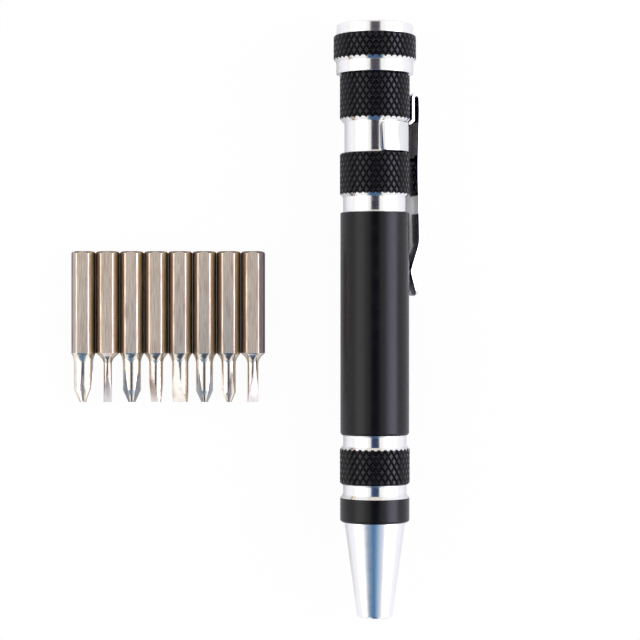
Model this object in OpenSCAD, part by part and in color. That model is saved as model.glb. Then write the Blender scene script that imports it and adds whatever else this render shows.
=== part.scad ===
// Pocket screwdriver: a hollow two-tone barrel that stores bits, a nose that drives them,
// a screw cap, a snap-on spring clip and a set of loose 4 mm hex bits.
// The pen lies along Y on a table at z = 0, nose towards -Y. The bits lie in a row beside it.
// Every turned piece is drawn about its own Z axis, tip at z = 0, and is then laid down.

/* [Barrel] */
// Diameter of the plain black grip
grip_d = 12.6; // [12.2:0.1:13.2]
// Diameter of the black ring at the nose
ring_d = 12.7; // [12.2:0.1:13.2]
// Diameter over the crests of the knurled bands
knurl_d = 12.8; // [12.6:0.1:13.4]
// Diameter of the bright necks between the black bands
neck_d = 11.6; // [11.2:0.1:11.8]
// Diameter of the bright groove that carries the clip
clip_groove_d = 11.1; // [10.7:0.1:11.5]
// Bore of the bit store, right through the barrel
store_d = 9.7; // [9.3:0.1:10.1]
// Length of the black ring at the nose
ring_len = 5; // [3:0.1:8]
// Length of the bright neck above the ring
ring_neck_len = 1.95; // [1:0.05:4]
// Length of the knurled band for the fingers
finger_knurl_len = 6.85; // [4:0.05:12]
// Length of the bright neck below the grip
grip_neck_len = 2.15; // [1:0.05:4]
// Length of the plain black grip
grip_len = 40.6; // [34:0.1:60]
// Length of the bright neck above the grip
upper_neck_len = 2.85; // [1:0.05:6]
// Length of the knurled band below the clip
middle_knurl_len = 8; // [4:0.1:12]
// Length of the bright groove that carries the clip
clip_groove_len = 5.7; // [4:0.1:9]
// Length of the knurled band above the clip
upper_knurl_len = 8.7; // [6:0.1:12]
// Diameter of the threaded neck that takes the cap
thread_d = 11.6; // [11.2:0.1:11.8]
// Length of the threaded neck
thread_len = 6.2; // [4:0.1:6.6]
// Chamfer on the end of the threaded neck
thread_chamfer = 0.4; // [0.2:0.1:0.6]

/* [Knurl] */
// Depth of the diamond knurl
knurl_depth = 0.4; // [0.2:0.05:0.45]
// Axial pitch of the diamonds
knurl_pitch = 1.9; // [1.4:0.1:3]
// Diamonds round a barrel band
barrel_diamonds = 34; // [24:1:44]
// Diamonds round the cap band
cap_diamonds = 40; // [28:1:50]
// Chamfer at the ends of the black bands
band_chamfer = 0.45; // [0.2:0.05:0.5]
// Smaller chamfer at the upper end of the grip
grip_top_chamfer = 0.15; // [0.1:0.05:0.5]

/* [Nose] */
// Length of the bright cone
cone_len = 17.5; // [16.5:0.1:24]
// Diameter of the cone where it meets the ring
cone_top_d = 11.1; // [10.4:0.1:11.6]
// Diameter of the cone at its tip
cone_tip_d = 6.4; // [6:0.1:8]
// Radius of the rounded edge at the tip
cone_edge_r = 0.5; // [0.2:0.1:0.6]
// Length of the spigot that is pressed into the barrel
spigot_len = 3.4; // [2.5:0.1:5]
// Width across flats of the hex socket
socket_af = 4.06; // [4.04:0.01:4.2]
// Depth of the hex socket, down to the magnet
socket_depth = 12; // [8:0.1:13]
// Depth of the lead-in chamfer at the socket's mouth
socket_lead = 0.4; // [0.2:0.1:0.5]
// Diameter of the magnet
magnet_d = 4; // [3:0.1:4]
// Length of the magnet
magnet_len = 3; // [2:0.1:4]

/* [Cap] */
// Diameter over the crests of the cap's knurled band
cap_knurl_d = 15.1; // [15:0.1:16.4]
// Diameter of the bright skirt below the band
cap_skirt_d = 14.1; // [13.4:0.1:14.1]
// Diameter of the bright crown above the band
cap_crown_d = 14; // [13.4:0.1:14.3]
// Length of the bright skirt
cap_skirt_len = 2.1; // [1.5:0.1:4]
// Length of the cap's knurled band
cap_knurl_len = 5; // [4:0.1:8]
// Length of the bright crown
cap_crown_len = 2; // [1.4:0.1:4]
// Radius of the rounded edge of the crown
cap_edge_r = 0.35; // [0.2:0.05:0.6]
// Thickness of the rubber liner inside the cap
liner_len = 0.7; // [0.4:0.1:1]

/* [Clip] */
// Thickness of the spring strip
clip_t = 0.5; // [0.3:0.02:0.6]
// Width of the strip at the fold
clip_w = 4.6; // [3:0.1:6]
// Width of the strip at its free tip
clip_tip_w = 3.8; // [2.5:0.1:5]
// Radius of the corners at the free tip
clip_tip_r = 1.1; // [0.5:0.1:1.2]
// Angle that the snap-on band wraps round the barrel
band_wrap = 225; // [185:1:230]
// Radius of the corners at the ends of the band
band_corner_r = 1.2; // [0.5:0.1:1.6]
// Inside radius of the fold at the top
fold_r = 0.48; // [0.3:0.02:0.8]
// Height of the fold's centre above the groove
fold_rise = 4.3; // [2.5:0.1:7]
// Length of the straight arm below the fold
arm_len = 26.4; // [24:0.1:34]
// How far the straight arm bows in towards the barrel
arm_bow = 0.3; // [0:0.05:0.5]
// Length of the stretch that slopes in to the grip
arm_in_len = 5.1; // [3:0.1:8]
// Length of the flared tip
arm_flare_len = 4.8; // [3:0.1:8]
// How far the flared tip stands off the grip
arm_flare_gap = 1.5; // [0.6:0.05:2]
// Radius of the bends along the arm
arm_bend_r = 1.2; // [0.8:0.1:2]

/* [Bits] */
// Width across flats of a bit's hex shank
bit_af = 4; // [3.9:0.01:4.02]
// Diameter across the turned corners of the shank
bit_corner_d = 4.42; // [4.3:0.01:4.6]
// Length of a bit
bit_len = 28; // [26:0.5:32]
// Length of the working end, shoulder included
bit_work_len = 9.1; // [8:0.1:12]
// Chamfer on the end of the shank
bit_end_chamfer = 0.35; // [0.2:0.05:0.6]
// Radius of the hollow shoulder under the shank
bit_shoulder_r = 2.2; // [1.6:0.1:3]
// Shaft diameter of the largest cross-head bit
cross_1_d = 3.5; // [3.2:0.1:3.7]
// Shaft diameter of the second cross-head bit
cross_2_d = 3.3; // [3:0.1:3.5]
// Shaft diameter of the third cross-head bit
cross_3_d = 3.1; // [2.8:0.1:3.3]
// Shaft diameter of the smallest cross-head bit
cross_4_d = 2.6; // [2.3:0.1:2.9]
// Blade width of the smallest slotted bit
slot_1_w = 1.5; // [1.2:0.1:1.8]
// Blade width of the second slotted bit
slot_2_w = 2; // [1.8:0.1:2.3]
// Blade width of the third slotted bit
slot_3_w = 2.5; // [2.3:0.1:2.8]
// Blade width of the largest slotted bit
slot_4_w = 3; // [2.7:0.1:3.4]
// Length of the ground faces of a slotted blade
blade_len = 5.2; // [3:0.1:6]
// Length of the flutes of a cross-head point
flute_len = 6.2; // [4:0.1:7]
// Half angle of the cone of a cross-head point
point_angle = 26.5; // [20:0.5:32]

/* [Layout] */
// Distance from the pen's axis to the middle of the nearest bit
bits_to_pen = 22.5; // [18:0.1:40]
// Gap between neighbouring bits
bit_gap = 0.08; // [0.08:0.01:2]
// How far the bits' tips lie beyond the pen's tip, along the pen
bits_rise = 39.2; // [0:0.1:70]
// How far the clip is turned from level towards the table
clip_angle = 32; // [0:1:40]

/* [Hidden] */
// Radial clearance of a pressed or glued seat
seat_gap = 0.02;
// Radial clearance between the cap's thread and the neck
thread_gap = 0.08;
// End clearance between the cap and the barrel's shoulder
shoulder_gap = 0.05;
// End clearance between the liner and the threaded neck
rim_gap = 0.12;
// Clearance between the clip's band and the groove, all round
band_gap = 0.25;
// Clearance between the clip's folded leg and the knurl
leg_gap = 0.36;
// Clearance between the clip's arm and the grip
arm_gap = 0.2;
// Slit between the clip's leg and its fold, where the arm flexes
flex_slit = 0.12;
// How far every cut runs past the face that it opens
overrun = 1;
// Half thickness of a slotted blade at its edge, as a share of its width
blade_edge_share = 0.09;
// Radius of the flute's root at the very tip, as a share of the shaft diameter
flute_root_share = 0.13;
// Radius of the flat end of a cross-head point, as a share of the shaft diameter
point_flat_share = 0.14;
// Shares of the strip's thickness: how far the clip's tongue stands out from its band, how far its bend
// starts below the band's edge, and how far the tongue reaches down from there
tongue_out_share = 0.3;
tongue_bend_share = 0.3;
tongue_start_share = 0.5;
// Distance of a corner's centre from its edges, as a share of its radius, so that the arc meets them aslant
corner_centre_share = 0.97;
// Straight pieces in an arc of a profile and in the arm's bow, and sides of a round face
arc_steps = 6;
bow_steps = 10;
round_sides = 96;
bit_sides = 48;

grip_r = grip_d / 2;
ring_r = ring_d / 2;
knurl_r = knurl_d / 2;
neck_r = neck_d / 2;
groove_r = clip_groove_d / 2;
store_r = store_d / 2;
thread_r = thread_d / 2;
cap_r = cap_knurl_d / 2;

// Heights of the barrel's steps above the pen's tip
ring_z = cone_len;
finger_knurl_z = ring_z + ring_len + ring_neck_len;
grip_z = finger_knurl_z + finger_knurl_len + grip_neck_len;
middle_knurl_z = grip_z + grip_len + upper_neck_len;
groove_z = middle_knurl_z + middle_knurl_len;
upper_knurl_z = groove_z + clip_groove_len;
shoulder_z = upper_knurl_z + upper_knurl_len;
rim_z = shoulder_z + thread_len;
cap_z = shoulder_z + shoulder_gap;
cap_len = cap_skirt_len + cap_knurl_len + cap_crown_len;
pen_len = cap_z + cap_len;
cap_cavity_len = thread_len - shoulder_gap + rim_gap + liner_len;
cap_bore_r = thread_r + thread_gap;

// The clip's radii from the pen's axis, and its heights
band_in_r = groove_r + band_gap;
band_len = clip_groove_len - 2 * band_gap;
band_z = groove_z + band_gap;
leg_in_r = knurl_r + leg_gap;
fold_axis_r = leg_in_r + clip_t + fold_r;
fold_z = upper_knurl_z + fold_rise;
arm_in_r = fold_axis_r + fold_r;
pinch_r = grip_r + arm_gap;
tongue_in_r = band_in_r + clip_t * tongue_out_share;
tongue_z = band_z + band_len - clip_t * tongue_bend_share;
clip_reach = (arm_in_r + clip_t) * cos(clip_angle) + clip_w / 2 * sin(clip_angle);

// The bits' kinds, diameters and the turn of each tip about its axis, from left to right
bits = [
    ["cross", cross_1_d, 37], ["slot", slot_1_w, 8], ["cross", cross_2_d, 2], ["slot", slot_3_w, -50],
    ["slot", slot_4_w, -30], ["cross", cross_3_d, 7], ["cross", cross_4_d, -19], ["slot", slot_2_w, 10],
];
bit_pitch = bit_corner_d + bit_gap;

// The whole set is centred over the origin
set_w = clip_reach + bits_to_pen + (len(bits) - 1) * bit_pitch + bit_corner_d / 2;
pen_x = set_w / 2 - clip_reach;
axis_h = cap_r;

black_finish = [0.09, 0.09, 0.1];
bright_finish = [0.86, 0.87, 0.89];
chrome_finish = [0.7, 0.71, 0.73];
steel_finish = [0.66, 0.61, 0.56];
rubber_finish = [0.15, 0.15, 0.15];

// Points of an arc about a centre, from one angle to another
function arc(centre, r, from, to) =
    [for (k = [0:arc_steps]) let (a = from + (to - from) * k / arc_steps) centre + r * [cos(a), sin(a)]];

function unit(v) = v / norm(v);
function left_of(v) = [-v.y, v.x];

// A polyline with each inner corner replaced by an arc of radius r
function round_path(p, r) = [
    p[0],
    for (k = [1:len(p) - 2])
        let (
            a = unit(p[k - 1] - p[k]),
            b = unit(p[k + 1] - p[k]),
            half = acos(a * b) / 2,
            centre = p[k] + unit(a + b) * r / sin(half),
            start = p[k] + a * r / tan(half) - centre,
            finish = p[k] + b * r / tan(half) - centre
        )
        for (s = [0:arc_steps]) centre + r * unit(start + (finish - start) * s / arc_steps),
    p[len(p) - 1],
];

// Direction of a polyline at a point, as the mean of the stretches that meet there
function heading(p, k) =
    unit((k > 0 ? unit(p[k] - p[k - 1]) : [0, 0]) + (k < len(p) - 1 ? unit(p[k + 1] - p[k]) : [0, 0]));

// Outline of a strip of thickness t on the left of a polyline
function strip(p, t) = concat(p, [for (k = [len(p) - 1:-1:0]) p[k] + t * left_of(heading(p, k))]);

// Places a piece of the pen on the table, its own Z axis along Y
module lay_pen() {
    translate([pen_x, -pen_len / 2, axis_h]) rotate([-90, 0, 0]) children();
}

// Places a bit in the row, lying on a flat of its shank
module lay_bit(place) {
    x = pen_x - bits_to_pen - (len(bits) - 1 - place) * bit_pitch;
    translate([x, bits_rise - pen_len / 2, bit_af / 2]) rotate([-90, 0, 0]) children();
}

// A plain black band with a chamfer at its foot and its head, from radius inner out to radius r
module plain_band(z, length, r, inner, head) {
    translate([0, 0, z])
        rotate_extrude($fn = round_sides)
            polygon([
                [inner, 0], [r - band_chamfer, 0], [r, band_chamfer],
                [r, length - head], [r - head, length], [inner, length],
            ]);
}

// A knurled black band: pyramids between two crossed sets of helical grooves, chamfered at both ends
module knurl_band(z, length, r, diamonds, inner) {
    sides = 2 * diamonds;
    rows = 2 * round((length - 2 * band_chamfer) / knurl_pitch);
    row_h = (length - 2 * band_chamfer) / rows;
    levels = rows + 4;
    // Rings of points from the inner wall's foot, up over the rows, to the inner wall's head
    level_r = function(j, i)
        j == 0 || j == levels ? inner
        : j == 1 || j == levels - 1 ? r - band_chamfer
        : (i + j) % 2 == 0 ? r : r - knurl_depth;
    level_z = function(j)
        j <= 1 ? 0 : j >= levels - 1 ? length : band_chamfer + (j - 2) * row_h;
    points = [
        for (j = [0:levels]) for (i = [0:sides - 1])
            let (a = 360 * i / sides) [level_r(j, i) * cos(a), level_r(j, i) * sin(a), level_z(j)]
    ];
    at = function(j, i) j * sides + i % sides;
    walls = [
        for (j = [0:levels - 1]) for (i = [0:sides - 1])
            let (a = at(j, i), b = at(j, i + 1), c = at(j + 1, i + 1), d = at(j + 1, i))
            each (i + j) % 2 == 0 ? [[a, d, b], [b, d, c]] : [[a, c, b], [a, d, c]]
    ];
    inner_wall = [for (i = [0:sides - 1]) [at(levels, i), at(0, i), at(0, i + 1), at(levels, i + 1)]];
    translate([0, 0, z]) polyhedron(points, concat(walls, inner_wall), convexity = 4);
}

// The bright tube inside the bands, stepped for the necks, the clip's groove and the cap's thread
module barrel_core() {
    middle_z = middle_knurl_z + middle_knurl_len / 2;
    upper_z = upper_knurl_z + upper_knurl_len / 2;
    rotate_extrude($fn = round_sides)
        polygon([
            [store_r, ring_z], [neck_r, ring_z], [neck_r, middle_z], [groove_r, middle_z],
            [groove_r, upper_z], [thread_r, upper_z],
            [thread_r, rim_z - thread_chamfer], [thread_r - thread_chamfer, rim_z], [store_r, rim_z],
        ]);
}

module barrel() {
    band_inner = (store_r + groove_r) / 2;
    lay_pen() {
        color(bright_finish) barrel_core();
        color(black_finish) {
            plain_band(ring_z, ring_len, ring_r, band_inner, band_chamfer);
            knurl_band(finger_knurl_z, finger_knurl_len, knurl_r, barrel_diamonds, band_inner);
            plain_band(grip_z, grip_len, grip_r, band_inner, grip_top_chamfer);
            knurl_band(middle_knurl_z, middle_knurl_len, knurl_r, barrel_diamonds, band_inner);
            knurl_band(upper_knurl_z, upper_knurl_len, knurl_r, barrel_diamonds, band_inner);
        }
    }
}

// A hex prism of a given width across flats, with a flat facing along Y
module hex(af, length) {
    cylinder(d = af / cos(30), h = length, $fn = 6);
}

module nose_cone() {
    slope = atan((cone_top_d - cone_tip_d) / 2 / cone_len);
    edge_r = cone_tip_d / 2 + cone_edge_r * (tan(slope) - 1 / cos(slope));
    spigot_r = store_r - seat_gap;
    mouth_r = socket_af / cos(30) / 2;
    color(bright_finish)
        lay_pen()
            difference() {
                rotate_extrude($fn = round_sides)
                    polygon(concat(
                        [[0, 0]],
                        arc([edge_r, cone_edge_r], cone_edge_r, -90, -slope),
                        [
                            [cone_top_d / 2, cone_len], [spigot_r, cone_len],
                            [spigot_r, cone_len + spigot_len], [0, cone_len + spigot_len],
                        ]
                    ));
                translate([0, 0, -overrun]) hex(socket_af, overrun + socket_depth + magnet_len);
                translate([0, 0, -overrun])
                    cylinder(
                        r1 = mouth_r + overrun, r2 = mouth_r - socket_lead,
                        h = overrun + socket_lead, $fn = round_sides
                    );
            }
}

module bit_magnet() {
    color(chrome_finish)
        lay_pen() translate([0, 0, socket_depth]) cylinder(d = magnet_d, h = magnet_len, $fn = round_sides);
}

module screw_cap() {
    skirt_r = cap_skirt_d / 2;
    crown_r = cap_crown_d / 2;
    step_z = cap_skirt_len + cap_knurl_len / 2;
    lay_pen()
        translate([0, 0, cap_z]) {
            color(bright_finish)
                rotate_extrude($fn = round_sides)
                    polygon(concat(
                        [[cap_bore_r, 0], [skirt_r, 0], [skirt_r, step_z], [crown_r, step_z]],
                        arc([crown_r - cap_edge_r, cap_len - cap_edge_r], cap_edge_r, 0, 90),
                        [[0, cap_len], [0, cap_cavity_len], [cap_bore_r, cap_cavity_len]]
                    ));
            color(black_finish)
                knurl_band(cap_skirt_len, cap_knurl_len, cap_r, cap_diamonds, (cap_bore_r + crown_r) / 2);
        }
}

module cap_liner() {
    color(rubber_finish)
        lay_pen()
            translate([0, 0, rim_z + rim_gap])
                cylinder(r = cap_bore_r - seat_gap, h = liner_len, $fn = round_sides);
}

// Turns a piece of the clip from the X direction to the side that it is worn on
module clip_side() {
    lay_pen() rotate([0, 0, clip_angle]) children();
}

// A profile of radius and height, drawn out to the width of the strip
module clip_sheet(outline, width) {
    rotate([90, 0, 0]) translate([0, 0, -width / 2]) linear_extrude(width) polygon(outline);
}

// What rounds off one corner of the band, standing at the band's end and foot
module band_corner() {
    depth = 2 * (band_in_r + clip_t);
    inset = band_corner_r * corner_centre_share;
    rotate([0, 90, 0])
        linear_extrude(depth)
            difference() {
                translate([-inset, -overrun]) square([inset + overrun, inset + overrun]);
                translate([-inset, inset]) circle(band_corner_r, $fn = bit_sides);
            }
}

module clip_band() {
    tongue = [
        [tongue_in_r, tongue_z - clip_t * tongue_start_share], [tongue_in_r, tongue_z],
        [leg_in_r, tongue_z + leg_in_r - tongue_in_r], [leg_in_r, fold_z - flex_slit],
    ];
    color(chrome_finish)
        clip_side() {
            difference() {
                translate([0, 0, band_z])
                    rotate([0, 0, -band_wrap / 2])
                        rotate_extrude(angle = band_wrap, $fn = round_sides)
                            translate([band_in_r, 0]) square([clip_t, band_len]);
                for (side = [0, 1], end = [0, 1])
                    mirror([0, side, 0])
                        translate([0, 0, band_z + band_len / 2])
                            mirror([0, 0, end])
                                translate([0, 0, -band_len / 2])
                                    rotate([0, 0, -band_wrap / 2])
                                        band_corner();
            }
            clip_sheet(strip([for (k = [len(tongue) - 1:-1:0]) tongue[k]], clip_t), clip_w);
        }
}

// The arm seen from outside: the strip's width, narrowing to a rounded tip
module arm_outline(tip_z) {
    half_w = clip_w / 2;
    half_tip = clip_tip_w / 2;
    corner = [half_tip - clip_tip_r, tip_z + clip_tip_r];
    right = concat(
        arc(corner, clip_tip_r, -90, 0),
        [[half_w, tip_z + arm_flare_len + arm_in_len], [half_w, fold_z + fold_r + clip_t + overrun]]
    );
    polygon(concat(right, [for (k = [len(right) - 1:-1:0]) [-right[k].x, right[k].y]]));
}

module clip_arm() {
    knee_z = fold_z - arm_len;
    pinch_z = knee_z - arm_in_len;
    tip_z = pinch_z - arm_flare_len;
    bow_top = fold_z - fold_r;
    bow_foot = knee_z + arm_bend_r;
    bow = [
        for (k = [0:bow_steps - 1]) let (s = k / bow_steps)
            [arm_in_r - arm_bow * (1 - cos(360 * s)) / 2, bow_top + (bow_foot - bow_top) * s]
    ];
    tail = round_path(
        [[arm_in_r, bow_foot], [arm_in_r, knee_z], [pinch_r, pinch_z], [pinch_r + arm_flare_gap, tip_z]],
        arm_bend_r
    );
    path = concat([[arm_in_r, fold_z]], bow, tail);
    color(chrome_finish)
        clip_side()
            intersection() {
                union() {
                    translate([fold_axis_r, 0, fold_z])
                        rotate([90, 0, 0])
                            translate([0, 0, -clip_w / 2])
                                rotate_extrude(angle = 180, $fn = bit_sides)
                                    translate([fold_r, 0]) square([clip_t, clip_w]);
                    clip_sheet(strip(path, clip_t), clip_w);
                }
                rotate([90, 0, 90]) linear_extrude(2 * (arm_in_r + clip_t)) arm_outline(tip_z);
            }
}

// The hex shank, with turned corners, a chamfered end and a hollow shoulder down to the shaft
module bit_shank(shaft_d) {
    corner_r = bit_corner_d / 2;
    shaft_r = shaft_d / 2;
    sweep = acos(max(0, 1 - (corner_r - shaft_r) / bit_shoulder_r));
    shoulder_z = bit_work_len - bit_shoulder_r * sin(sweep);
    intersection() {
        hex(bit_af, bit_len);
        rotate_extrude($fn = bit_sides)
            polygon(concat(
                [[0, shoulder_z]],
                arc([shaft_r + bit_shoulder_r, shoulder_z], bit_shoulder_r, 180, 180 - sweep),
                [
                    [corner_r, bit_len - bit_end_chamfer], [corner_r - bit_end_chamfer, bit_len],
                    [0, bit_len],
                ]
            ));
    }
}

// A cross-head point: a cone with four V-shaped flutes that run out into the shaft
module cross_tip(d) {
    r = d / 2;
    flat_r = d * point_flat_share;
    root_r = d * flute_root_share;
    cone_h = (r - flat_r) / tan(point_angle);
    lean = atan((r - root_r) / flute_len);
    difference() {
        rotate_extrude($fn = bit_sides)
            polygon([[0, 0], [flat_r, 0], [r, cone_h], [r, bit_work_len], [0, bit_work_len]]);
        for (turn = [45:90:315])
            rotate([0, 0, turn])
                translate([root_r, 0, 0])
                    rotate([0, lean, 0])
                        rotate([0, 0, -45])
                            translate([0, 0, -overrun])
                                cube([d, d, overrun + bit_work_len]);
    }
}

// A slotted blade: a round shaft ground to a wedge on two sides
module slot_tip(w) {
    r = w / 2;
    edge = w * blade_edge_share;
    lean = atan((r - edge) / blade_len);
    difference() {
        cylinder(r = r, h = bit_work_len, $fn = bit_sides);
        for (side = [0, 180])
            rotate([0, 0, side])
                translate([-w, edge, 0])
                    rotate([-lean, 0, 0])
                        translate([0, 0, -overrun])
                            cube([2 * w, w, overrun + bit_work_len]);
    }
}

module bit(place) {
    kind = bits[place][0];
    width = bits[place][1];
    color(steel_finish)
        lay_bit(place) {
            bit_shank(width);
            rotate([0, 0, bits[place][2]]) {
                if (kind == "cross") cross_tip(width);
                if (kind == "slot") slot_tip(width);
            }
        }
}

barrel();
nose_cone();
bit_magnet();
screw_cap();
cap_liner();
clip_band();
clip_arm();
bit(0);  // cross_bit_1
bit(1);  // slotted_bit_1_5
bit(2);  // cross_bit_0
bit(3);  // slotted_bit_2_5
bit(4);  // slotted_bit_3_0
bit(5);  // cross_bit_00
bit(6);  // cross_bit_000
bit(7);  // slotted_bit_2_0
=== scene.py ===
"""Looks of the pocket screwdriver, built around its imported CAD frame.

Every turned piece is modelled in millimetres about its own Z axis, with the pen's nose at z = 0, and is then
laid down in its place. The finished pieces are in metres, in the frame of the CAD part.
"""

import logging
import math
from abc import ABC, abstractmethod
from dataclasses import dataclass, field
from enum import Enum
from itertools import pairwise
from typing import Any, Callable, Sequence

import bmesh
import bpy
from mathutils import Matrix, Vector


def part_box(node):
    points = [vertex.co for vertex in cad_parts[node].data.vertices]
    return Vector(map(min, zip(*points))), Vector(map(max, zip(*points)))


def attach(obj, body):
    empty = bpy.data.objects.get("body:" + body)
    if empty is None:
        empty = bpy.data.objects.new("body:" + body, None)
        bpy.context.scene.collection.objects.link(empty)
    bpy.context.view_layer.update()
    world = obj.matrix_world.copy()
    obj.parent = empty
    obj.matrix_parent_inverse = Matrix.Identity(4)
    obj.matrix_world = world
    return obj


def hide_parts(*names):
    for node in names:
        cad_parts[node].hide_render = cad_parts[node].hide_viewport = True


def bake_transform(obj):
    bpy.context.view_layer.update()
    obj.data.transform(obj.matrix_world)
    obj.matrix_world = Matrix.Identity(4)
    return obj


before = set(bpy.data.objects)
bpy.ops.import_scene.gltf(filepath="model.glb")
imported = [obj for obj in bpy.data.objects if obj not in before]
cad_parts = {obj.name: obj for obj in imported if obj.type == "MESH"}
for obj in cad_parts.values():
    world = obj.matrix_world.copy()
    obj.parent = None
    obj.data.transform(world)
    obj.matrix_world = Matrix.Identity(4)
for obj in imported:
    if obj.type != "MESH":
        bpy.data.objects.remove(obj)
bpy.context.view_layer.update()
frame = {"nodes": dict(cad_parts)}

LOG = logging.getLogger("pocket_screwdriver")

Colour = tuple[float, float, float]
Span = tuple[float, float]
Piece = bpy.types.Object
Outline = list[tuple[float, float]]
FaceTest = Callable[[bpy.types.MeshPolygon], bool]

# A millimetre in metres. The other lengths here are in millimetres.
MM = 0.001
# Sides of a full turn, for the pen and for the bits.
ROUND_STEPS = 144
SMALL_STEPS = 64
# Points nearer than this are one point.
WELD = 0.0002
# Edges that turn by less than this are shaded smooth.
SMOOTH_ANGLE = math.radians(32)
# How far a cutting tool reaches past the piece.
OVERRUN = 1.0
# The narrow ring beside a rounding, which keeps its shading off the plain wall.
RING = 0.05
# How far a test for points or faces reaches past the place that it looks for.
SLACK = 0.01
# The share of an axis in a face's normal from which the face counts as tilted.
TILTED = 0.1
# The share from which it counts as looking along that axis.
FACING = 0.8


class Element(Enum):
    """What the bench selects in edit mode: Blender's name for it, and the mesh's list of it."""

    VERTEX = ("VERT", "verts")
    EDGE = ("EDGE", "edges")
    FACE = ("FACE", "faces")


class Cut(Enum):
    """How one solid is cut by another."""

    TAKE_AWAY = "DIFFERENCE"
    KEEP_COMMON = "INTERSECT"


class Bench:
    """Modelling steps by operator.

    Each step leaves its piece active and alone, in object mode unless it says otherwise.
    """

    @staticmethod
    def clear() -> None:
        """Leaves edit mode and deselects everything."""
        active = bpy.context.view_layer.objects.active
        if active is not None and active.mode != "OBJECT":
            bpy.ops.object.mode_set(mode="OBJECT")
        bpy.ops.object.select_all(action="DESELECT")

    @staticmethod
    def hold(piece: Piece) -> None:
        """Selects one piece alone and makes it active."""
        Bench.clear()
        piece.select_set(True)
        bpy.context.view_layer.objects.active = piece

    @staticmethod
    def edit(piece: Piece) -> None:
        """Opens one piece in edit mode."""
        Bench.hold(piece)
        bpy.ops.object.mode_set(mode="EDIT")

    @staticmethod
    def named(name: str) -> Piece:
        """Names the piece that was just added, and its mesh."""
        piece = bpy.context.object
        piece.name = piece.data.name = name
        return piece

    @staticmethod
    def pick(piece: Piece, element: Element, test: Callable[[Any], bool]) -> None:
        """Selects, in edit mode, the elements that pass a test, and no others.

        Args:
            piece: The piece that is open in edit mode.
            element: Vertices, edges or faces.
            test: Takes an element and says whether it is selected.
        """
        mode, group = element.value
        bpy.ops.mesh.select_mode(type=mode)
        bpy.ops.mesh.select_all(action="DESELECT")
        mesh = bmesh.from_edit_mesh(piece.data)
        for part in [part for part in getattr(mesh, group) if test(part)]:
            part.select_set(True)
        bmesh.update_edit_mesh(piece.data)

    @staticmethod
    def line(name: str, points: Sequence[Vector], closed: bool) -> Piece:
        """Draws a chain of edges by extruding one vertex, and leaves it in edit mode, all selected.

        Args:
            name: Name of the new piece.
            points: The chain's points.
            closed: Whether the last point is joined to the first.

        Returns:
            The new piece.
        """
        Bench.clear()
        bpy.ops.mesh.primitive_plane_add(size=1, location=(0, 0, 0))
        piece = Bench.named(name)
        bpy.ops.object.mode_set(mode="EDIT")
        bpy.ops.mesh.select_mode(type="VERT")
        bpy.ops.mesh.select_all(action="SELECT")
        bpy.ops.mesh.merge(type="CENTER")
        bpy.ops.transform.translate(value=points[0])
        for here, there in pairwise(points):
            bpy.ops.mesh.extrude_vertices_move(TRANSFORM_OT_translate={"value": there - here})
        if closed:
            Bench.pick(piece, Element.VERTEX, lambda vertex: len(vertex.link_edges) == 1)
            bpy.ops.mesh.edge_face_add()
        bpy.ops.mesh.select_all(action="SELECT")
        return piece

    @staticmethod
    def close_up() -> None:
        """Merges doubles, turns the faces outwards and leaves edit mode."""
        bpy.ops.mesh.select_all(action="SELECT")
        bpy.ops.mesh.remove_doubles(threshold=WELD)
        bpy.ops.mesh.normals_make_consistent(inside=False)
        bpy.ops.object.mode_set(mode="OBJECT")

    @staticmethod
    def lathe(name: str, outline: Outline, steps: int = ROUND_STEPS) -> Piece:
        """Turns a solid about Z.

        Args:
            name: Name of the new piece.
            outline: Radius and height of each point, from axis to axis or round a ring.
            steps: Sides of a full turn.

        Returns:
            The new piece.
        """
        piece = Bench.line(name, [Vector((r, 0, z)) for r, z in outline], closed=outline[0][0] > 0)
        bpy.ops.mesh.spin(steps=steps, angle=math.tau, center=(0, 0, 0), axis=(0, 0, 1))
        Bench.close_up()
        return piece

    @staticmethod
    def helix(name: str, section: Outline, pitch: float, turns: int) -> Piece:
        """Sweeps a closed section along a right-hand helix about Z.

        Args:
            name: Name of the new piece.
            section: Radius and height of the section's corners.
            pitch: Rise of a turn.
            turns: Whole turns.

        Returns:
            The new piece.
        """
        piece = Bench.line(name, [Vector((r, 0, z)) for r, z in section], closed=True)
        bpy.ops.object.mode_set(mode="OBJECT")
        sweep = piece.modifiers.new("sweep", "SCREW")
        sweep.axis = "Z"
        sweep.angle = math.tau
        sweep.screw_offset = pitch
        sweep.iterations = turns
        sweep.steps = sweep.render_steps = SMALL_STEPS
        Bench.apply(piece)
        Bench.edit(piece)
        bpy.ops.mesh.select_all(action="SELECT")
        bpy.ops.mesh.fill_holes(sides=0)
        Bench.close_up()
        return piece

    @staticmethod
    def prism(name: str, across_flats: float, foot: float, length: float) -> Piece:
        """Adds a hex prism about Z with flats towards +Y and -Y.

        Args:
            name: Name of the new piece.
            across_flats: Its width.
            foot: Height of its lower end.
            length: Its length.

        Returns:
            The new piece.
        """
        Bench.clear()
        bpy.ops.mesh.primitive_cylinder_add(
            vertices=6,
            radius=across_flats / 2 / math.cos(math.pi / 6),
            depth=length,
            location=(0, 0, foot + length / 2),
            rotation=(0, 0, math.pi / 6),
        )
        bpy.ops.object.transform_apply(location=True, rotation=True, scale=True)
        return Bench.named(name)

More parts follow.
